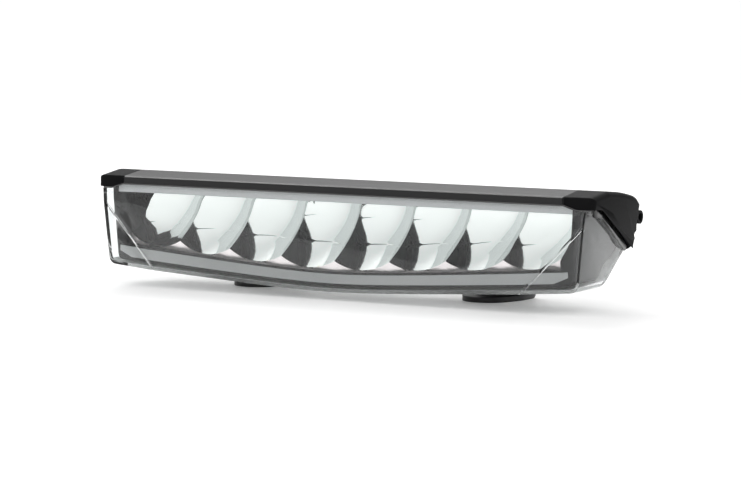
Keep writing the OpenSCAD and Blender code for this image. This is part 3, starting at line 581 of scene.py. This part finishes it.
@dataclass
class FrontUnit:
    """The clear lens, its seal, the bezel behind it and the trim over the bowls.

    Attributes:
        lens_edge_mm: Rounding of the lens's moulded edges.
        bezel_edge_mm: Rounding of the bezel's edges.
        trim_edge_mm: Rounding of the trim's edges.
        rib_mm: Width of the moulded rib along the lens's creases.
        rib_height_mm: How far it stands up.
        crease_angles: Least and greatest angle of such a crease, in degrees.
        crease_facing: Least share of the normals beside it along the lamp's depth.
        facet_area_mm2: Faces of the lens smaller than this have no crease.
        seal_angle: Edges of the seal sharper than this many degrees stay sharp.
        side_from_mm: Distance from the lamp's middle beyond which the bezel's sides are grained.
        side_facing: Least share of such a side's normal that points outwards.
        grain_y_mm: Depth behind which they are grained, so that the frame's front stays glossy.
        mask_height_mm: Height under which the lens's floor carries the printed mask.
    """

    lens_edge_mm: float = 1.1
    bezel_edge_mm: float = 0.35
    trim_edge_mm: float = 0.4
    rib_mm: float = 2.4
    rib_height_mm: float = 0.4
    crease_angles: tuple[float, float] = (4.0, 16.0)
    crease_facing: float = 0.9
    facet_area_mm2: float = 60.0
    seal_angle: float = 50.0
    side_from_mm: float = 238.0
    side_facing: float = 0.9
    grain_y_mm: float = -37.0
    mask_height_mm: float = 36.0

    def build(self) -> None:
        """Makes the lens, bezel, trim and seal."""
        lens = Workpiece("lens_cover", "clear_lens", CLEAR_LENS.material())
        lens.flat_faces()
        lens.round_edges(self.lens_edge_mm, segments=3)
        self.raise_creases(lens)
        self.mask_floor(lens)
        lens.finish_off()
        bezel = Workpiece("inner_bezel", "bezel_black", BEZEL_PLASTIC.material())
        bezel.flat_faces()
        bezel.round_edges(self.bezel_edge_mm)
        self.grain_sides(bezel)
        bezel.finish_off()
        trim = Workpiece("upper_trim", "trim_grey", TRIM_PLASTIC.material())
        trim.flat_faces()
        trim.round_edges(self.trim_edge_mm)
        trim.finish_off()
        seal = Workpiece("lens_gasket", "rubber_black", SEAL_RUBBER.material())
        seal.flat_faces()
        seal.finish_off(self.seal_angle)

    def grain_sides(self, bezel: Workpiece) -> None:
        """Gives the outer sides of the bezel's end walls their fine-grained finish.

        Args:
            bezel: The bezel with its edges rounded.
        """
        start = (0.0, self.grain_y_mm * MM, 0.0)
        bezel.edit(lambda: bpy.ops.mesh.bisect(plane_co=start, plane_no=(0.0, 1.0, 0.0)))
        mesh = bezel.piece.data
        mesh.materials.append(GRAINED_PLASTIC.material())
        for face in mesh.polygons:
            x, y, _ = face.center / MM
            outwards = math.copysign(face.normal.x, face.normal.x * x)
            if outwards > self.side_facing and abs(x) > self.side_from_mm and y > self.grain_y_mm:
                face.material_index = 1

    def mask_floor(self, lens: Workpiece) -> None:
        """Prints a grey mask on the inside of the lens's floor, back from its front wall.

        Args:
            lens: The lens with its edges rounded.
        """
        mesh = lens.piece.data
        mesh.materials.append(MASK_PRINT.material())
        for face in mesh.polygons:
            if face.normal.z > FACING and face.center.z < self.mask_height_mm * MM:
                face.material_index = 1

    def raise_creases(self, lens: Workpiece) -> None:
        """Raises a fine moulded rib along the crease of each corner facet, on both faces of the wall.

        Args:
            lens: The lens with its edges rounded.
        """
        mesh = lens.piece.data
        select_only(lens.piece)
        bpy.ops.object.mode_set(mode="EDIT")
        bpy.ops.mesh.select_mode(type="EDGE")
        bpy.ops.mesh.select_all(action="DESELECT")
        bpy.ops.object.mode_set(mode="OBJECT")
        sides: dict[tuple[int, int], list[Vector]] = {}
        for face in mesh.polygons:
            if face.area > self.facet_area_mm2 * MM**2:
                for key in face.edge_keys:
                    sides.setdefault(key, []).append(face.normal.copy())
        low, high = (math.radians(angle) for angle in self.crease_angles)
        for edge in mesh.edges:
            normals = sides.get(edge.key, [])
            frontal = len(normals) == 2 and abs(normals[0].y) > self.crease_facing
            edge.select = frontal and low < normals[0].angle(normals[1]) < high
        log.info("lens_cover: %d crease edges", sum(edge.select for edge in mesh.edges))
        bpy.ops.object.mode_set(mode="EDIT")
        bpy.ops.mesh.bevel(offset=self.rib_mm * MM / 2.0, segments=1)
        bpy.ops.mesh.select_mode(type="FACE")
        bpy.ops.mesh.inset(thickness=self.rib_mm * MM / 4.0, depth=self.rib_height_mm * MM)
        bpy.ops.object.mode_set(mode="OBJECT")


@dataclass(frozen=True)
class BowlForm:
    """The optical form of the bowls: paraboloids lit from above, in millimetres of the lamp's own frame.

    That frame has its zero at the middle of the housing's lower front edge, and its depths run to the rear.
    The bowls meet in ridges, and each one's lower rim runs in a scallop from ridge tip to ridge tip.

    Attributes:
        origin: That zero, in the frame of the whole part.
        count: Bowls in the row.
        half_width: Half the length of the row.
        vee_half: Half the width over which the lower edge dips.
        vee_round: How rounded the dip's middle is.
        focus_z: Height of the light sources.
        tip_drop: Height of the ridges below the light sources at the lamp's ends.
        tip_belly: How much further they reach in the middle.
        ridge_y: Depth of the ridges at the light sources' height.
        tip_y: Depth of the ridges' lower tips at the lamp's ends.
        tip_bulge: How much further forward they come in the middle.
        limit_y: Depth that no bowl passes.
        lines: Shares of a bowl's height at which its facets meet.
        lift: How far the bowls' upper edge stands behind the paraboloid of their lower rim.
        line_half: Half the height of the fine line between two facets.
        risers: How far each line's riser leans forward over that height.
        facet: Share of a bowl's height over which the facet under a line runs back into the paraboloid.
    """

    origin: tuple[float, float, float] = (0.0, -48.08, 98.0)
    count: int = 8
    half_width: float = 232.0
    vee_half: float = 240.0
    vee_round: float = 0.25
    focus_z: float = -10.0
    tip_drop: float = 38.3
    tip_belly: float = 14.3
    ridge_y: float = 53.0
    tip_y: float = 6.7
    tip_bulge: float = 5.8
    limit_y: float = 79.5
    lines: tuple[float, float] = (0.4, 0.79)
    lift: float = 1.0
    line_half: float = 0.25
    risers: tuple[float, float] = (0.08, 0.25)
    facet: float = 0.38

    def vee(self, x: float) -> float:
        """Returns the dip's share at x, one in the middle and none at the ends."""
        low = math.hypot(1.0, self.vee_round) - self.vee_round
        return 1.0 - (math.hypot(x / self.vee_half, self.vee_round) - self.vee_round) / low

    def across(self, x: float) -> float:
        """Returns the distance from x to the middle of its bowl."""
        pitch = 2.0 * self.half_width / self.count
        place = min(max((x + self.half_width) / pitch, 0.0), self.count - 1e-9)
        return (place - math.floor(place) - 0.5) * pitch

    def tip(self, x: float) -> float:
        """Returns the height of a ridge below the light sources at x."""
        return self.tip_drop + self.tip_belly * self.vee(x)

    def apron_y(self, x: float) -> float:
        """Returns the depth of the bowls' lower rim at x."""
        return self.tip_y - self.tip_bulge * self.vee(x)

    def rim_z(self, x: float) -> float:
        """Returns the height of the bowls' scalloped lower rim at x."""
        half = self.half_width / self.count
        return self.focus_z - math.sqrt(self.tip(x) ** 2 + half**2 - self.across(x) ** 2)

    def set_back(self, x: float, z: float) -> float:
        """Gives how far the surface at a height stands behind the paraboloid of the lower rim.

        Args:
            x: Place along the lamp.
            z: Height.

        Returns:
            The distance; the riser at each line leans forward and shows dark.
        """
        share, half = (self.focus_z - z) / self.tip(x), self.line_half / self.tip(x)
        total = self.lift * max(0.0, 1.0 - share)
        for line, riser in zip(self.lines, self.risers):
            if share > line + half:
                total += riser * max(0.0, 1.0 - (share - line - half) / self.facet)
            elif share > line - half:
                total += riser * (share - line + half) / (2.0 * half)
        return total

    def depth(self, x: float, z: float) -> float:
        """Gives the depth of the bowls' surface.

        Args:
            x: Place along the lamp.
            z: Height.

        Returns:
            The depth of the paraboloid, with its facet's step.
        """
        curve = self.tip(x) ** 2 / (self.ridge_y - self.apron_y(x))
        back = self.ridge_y + (self.half_width / self.count) ** 2 / curve
        bowl = back - (self.across(x) ** 2 + (z - self.focus_z) ** 2) / curve
        return min(self.limit_y, bowl + self.set_back(x, z))


@dataclass
class ReflectorUnit:
    """The bank of bowls with its light sources, their board and screws.

    Attributes:
        form: The bowls' optical form.
        cuts: Cuts across each of the bank's cells, which turn its facets into smooth bowls.
        reach_mm: A point this near to the bowls' form lies on their front.
        rim_slack_mm: How far under their lower rim such a point may lie.
        rim_reach_mm: Points less than this above the rim are laid on it.
        apron_gap_mm: The satin strip begins this far under the rim.
        sharp_angle: Edges of the bank sharper than this many degrees stay as ridges.
    """

    form: BowlForm = field(default_factory=BowlForm)
    cuts: int = 4
    reach_mm: float = 1.2
    rim_slack_mm: float = 0.1
    rim_reach_mm: float = 0.25
    apron_gap_mm: float = 0.2
    sharp_angle: float = 8.0

    def build(self) -> None:
        """Makes the smooth bank and dresses what it carries."""
        bank = Workpiece("reflector_bank", "reflector_bright", METALLISED.material())
        self.cut_front(bank)
        self.polish(bank)
        self.mask_apron(bank)
        bank.finish_off(self.sharp_angle)
        steel = STEEL.material()
        dress("reflector_screws", steel)
        dress("led_board_screws", steel)
        # The board's glow is painted light: it gives off light itself, pooled at each light source.
        board = replace(GLOW_PAINTED_BOARD, half_pitch_mm=self.form.half_width / self.form.count)
        dress("led_board", board.material())
        dress("led_emitters", PHOSPHOR.material())

    def mask_apron(self, bank: Workpiece) -> None:
        """Gives the plain strip under the bowls its satin finish.

        Args:
            bank: The polished bank.
        """
        mesh, origin = bank.piece.data, self.form.origin
        mesh.materials.append(APRON_SATIN.material())
        for face in mesh.polygons:
            x, z = face.center.x / MM, face.center.z / MM - origin[2]
            if face.normal.y < -FACING and z < self.form.rim_z(x) - self.apron_gap_mm:
                face.material_index = 1

    def on_front(self, point: Vector) -> bool:
        """Tells whether a point of the bank lies on the front of a bowl.

        Args:
            point: The point, in metres.

        Returns:
            True for the bowls' mirror side, their lower rim included.
        """
        x, y, z = (point[i] / MM - self.form.origin[i] for i in range(3))
        near = abs(y - self.form.depth(x, z)) < self.reach_mm
        return near and z > self.form.rim_z(x) - self.rim_slack_mm

    def cut_front(self, bank: Workpiece) -> None:
        """Cuts the cells of the bowls' front into small ones.

        Args:
            bank: The merged bank.
        """
        select_only(bank.piece)
        bpy.ops.object.mode_set(mode="EDIT")
        bpy.ops.mesh.select_mode(type="FACE")
        bpy.ops.mesh.select_all(action="DESELECT")
        bpy.ops.object.mode_set(mode="OBJECT")
        mesh = bank.piece.data
        front = [self.on_front(vertex.co) for vertex in mesh.vertices]
        for face in mesh.polygons:
            face.select = all(front[i] for i in face.vertices)
        bpy.ops.object.mode_set(mode="EDIT")
        bpy.ops.mesh.subdivide(number_cuts=self.cuts)
        bpy.ops.object.mode_set(mode="OBJECT")

    def polish(self, bank: Workpiece) -> None:
        """Lays every point of the bowls' front on their exact form.

        Args:
            bank: The bank with its cells cut.
        """
        form = self.form
        for vertex in bank.piece.data.vertices:
            if not self.on_front(vertex.co):
                continue
            x, z = vertex.co.x / MM, vertex.co.z / MM - form.origin[2]
            rim = form.rim_z(x)
            if z < rim + self.rim_reach_mm:
                z = rim
            vertex.co.y = (form.depth(x, z) + form.origin[1]) * MM
            vertex.co.z = (z + form.origin[2]) * MM
        bank.piece.data.update()


@dataclass
class DriverUnit:
    """The driver board with its parts, in the housing's chamber."""

    def build(self) -> None:
        """Dresses the board, its parts and the link to the light sources."""
        dress("driver_board", GREEN_BOARD.material())
        dark = DARK_MOULDING.material()
        dress("driver_inductors", dark)
        dress("driver_chips", dark)
        dress("driver_capacitors", BRIGHT_CAN.material())
        dress("board_link", IVORY_PLASTIC.material())


@dataclass
class PositionLight:
    """The lower strip: its light guide, board and small emitters."""

    def build(self) -> None:
        """Dresses the guide, the board and the emitters."""
        dress("position_light_guide", MILKY_ACRYLIC.material())
        dress("position_light_board", WHITE_BOARD.material())
        dress("position_light_leds", PHOSPHOR.material())


@dataclass
class RearFittings:
    """The cable inlet and the vent in the rear wall."""

    def build(self) -> None:
        """Dresses the inlet, its nuts and bush, and the vent."""
        nylon = INLET_PLASTIC.material()
        for node in ("vent_plug", "cable_gland", "gland_nut"):
            dress(node, nylon)
        dress("gland_bush", RUBBER.material())
        dress("gland_locknut", STEEL.material())


@dataclass
class Brackets:
    """The two feet with their bolts, washers and nuts.

    Attributes:
        edge_radius_mm: Rounding that the coating leaves on the metal's edges.
    """

    edge_radius_mm: float = 0.6

    def build(self) -> None:
        """Makes both brackets and dresses their fasteners."""
        coating = BRACKET_COATING.material()
        for side in ("left", "right"):
            bracket = Workpiece(f"bracket_{side}", "bracket_black", coating)
            bracket.flat_faces()
            bracket.round_edges(self.edge_radius_mm)
            bracket.finish_off()
        dress("bracket_bolts", DARK_SCREW.material())
        steel = STEEL.material()
        dress("bracket_washers", steel)
        dress("channel_nuts", steel)


def facing(place: tuple[float, float, float], aim: tuple[float, float, float]) -> Euler:
    """Returns the turn of a light or camera that stands at place and faces aim."""
    return (Vector(aim) - Vector(place)).to_track_quat("-Z", "Y").to_euler()


@dataclass
class SoftBox:
    """A rectangular studio light.

    Attributes:
        name: Its name.
        place: Where it stands.
        aim: The point that it faces.
        size: Its width and height.
        power: Its power in watts.
    """

    name: str
    place: tuple[float, float, float]
    aim: tuple[float, float, float]
    size: tuple[float, float]
    power: float

    def build(self) -> None:
        """Adds the light."""
        light = bpy.data.lights.new(self.name, "AREA")
        light.shape = "RECTANGLE"
        light.size, light.size_y = self.size
        light.energy = self.power
        lamp = bpy.data.objects.new(self.name, light)
        bpy.context.scene.collection.objects.link(lamp)
        lamp.location = self.place
        lamp.rotation_euler = facing(self.place, self.aim)


@dataclass
class Studio:
    """Floor, surroundings, lights and camera.

    Attributes:
        camera_place: Where the camera stands.
        camera_aim: The point in the middle of its picture.
        focal_px: Focal length in pixels of a picture that is picture_px wide.
        picture_px: Width of the picture in pixels.
        sensor_mm: Width of the camera's sensor.
        sight: How far the camera sees.
        floor_size: Edge of the square floor.
        floor_colour: The floor's colour.
        floor_lift: Light that the floor adds where it is seen, so that it shows white.
        upper_level: Brightness of the surroundings overhead.
        horizon_level: Brightness of the surroundings at the horizon.
        sky_turn: Upward share of the direction in which they reach their full brightness.
    """

    camera_place: tuple[float, float, float] = (1.4929, -2.5169, 0.3416)
    camera_aim: tuple[float, float, float] = (0.0386, -0.0481, 0.0506)
    focal_px: float = 3147.2
    picture_px: float = 741.0
    sensor_mm: float = 36.0
    sight: float = 200.0
    floor_size: float = 80.0
    floor_colour: str = "#f3f3f3"
    floor_lift: float = 0.15
    upper_level: float = 1.0
    horizon_level: float = 0.35
    sky_turn: float = 0.6
    lights: tuple[SoftBox, ...] = (
        SoftBox("back_top", (-0.9, 1.1, 1.5), (0.0, 0.0, 0.05), (1.6, 0.4), 13.0),
        SoftBox("front_fill", (-1.2, -2.2, 1.3), (0.0, 0.0, 0.05), (1.2, 1.2), 3.0),
    )

    def build(self) -> None:
        """Sets up the floor, the surroundings, the lights and the camera."""
        self.floor()
        self.surroundings()
        for light in self.lights:
            light.build()
        self.camera()
        bpy.context.scene.view_settings.view_transform = "Standard"

    def floor(self) -> None:
        """Lays the pale floor."""
        bpy.ops.object.select_all(action="DESELECT")
        bpy.ops.mesh.primitive_plane_add(size=self.floor_size, location=(0.0, 0.0, 0.0))
        floor = bpy.context.active_object
        floor.name = "floor"
        material, tree, output = new_material("pale_floor")
        path = add_node(tree, "ShaderNodeLightPath")
        seen = add_node(
            tree,
            "ShaderNodeMath",
            settings={"operation": "MAXIMUM"},
            links={0: (path, "Is Camera Ray"), 1: (path, "Is Glossy Ray")},
        )
        shown = add_node(
            tree,
            "ShaderNodeMath",
            settings={"operation": "MAXIMUM"},
            links={0: (seen, 0), 1: (path, "Is Transmission Ray")},
        )
        tint = add_node(
            tree,
            "ShaderNodeMix",
            settings={"data_type": "RGBA"},
            values={6: linear(self.floor_colour), 7: linear("#ffffff")},
            links={0: (shown, 0)},
        )
        lift = add_node(
            tree,
            "ShaderNodeMath",
            settings={"operation": "MULTIPLY"},
            values={1: self.floor_lift},
            links={0: (shown, 0)},
        )
        shader = add_node(
            tree,
            "ShaderNodeBsdfPrincipled",
            values={"Roughness": 0.45, "Specular IOR Level": 0.25, "Emission Color": linear("#ffffff")},
            links={"Base Color": (tint, 2), "Emission Strength": (lift, 0)},
        )
        tree.links.new(shader.outputs[0], output.inputs[0])
        floor.data.materials.append(material)

    def surroundings(self) -> None:
        """Lights the scene from a sky that is brighter overhead than at the horizon."""
        world = bpy.data.worlds.new("white_tent")
        bpy.context.scene.world = world
        world.use_nodes = True
        tree = world.node_tree
        tree.nodes.clear()
        way = add_node(tree, "ShaderNodeTexCoord")
        parts = add_node(tree, "ShaderNodeSeparateXYZ", links={0: (way, "Generated")})
        level = add_node(
            tree,
            "ShaderNodeMapRange",
            settings={"interpolation_type": "SMOOTHSTEP"},
            values={1: 0.0, 2: self.sky_turn, 3: self.horizon_level, 4: self.upper_level},
            links={0: (parts, "Z")},
        )
        light = add_node(tree, "ShaderNodeBackground", values={0: (1, 1, 1, 1)}, links={1: (level, 0)})
        white = add_node(tree, "ShaderNodeBackground", values={0: (1, 1, 1, 1), 1: 1.0})
        path = add_node(tree, "ShaderNodeLightPath")
        both = add_node(
            tree, "ShaderNodeMixShader", links={0: (path, "Is Camera Ray"), 1: (light, 0), 2: (white, 0)}
        )
        output = add_node(tree, "ShaderNodeOutputWorld")
        tree.links.new(both.outputs[0], output.inputs[0])

    def camera(self) -> None:
        """Sets the camera at the photograph's viewing angle."""
        data = bpy.data.cameras.new("camera")
        data.sensor_width = self.sensor_mm
        data.lens = self.focal_px / self.picture_px * self.sensor_mm
        data.clip_end = self.sight
        camera = bpy.data.objects.new("camera", data)
        bpy.context.scene.collection.objects.link(camera)
        camera.location = self.camera_place
        camera.rotation_euler = facing(self.camera_place, self.camera_aim)
        bpy.context.scene.camera = camera


def main() -> None:
    """Builds the studio and the lamp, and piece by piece."""
    logging.basicConfig(level=logging.INFO, format="%(name)s: %(message)s")
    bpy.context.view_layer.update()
    front = (HousingUnit(), FrontUnit(), ReflectorUnit())
    inside = (DriverUnit(), PositionLight())
    for part in (Studio(), *front, *inside, RearFittings(), Brackets()):
        part.build()
        log.info("%s is done", type(part).__name__)


if __name__ == "__main__":
    main()
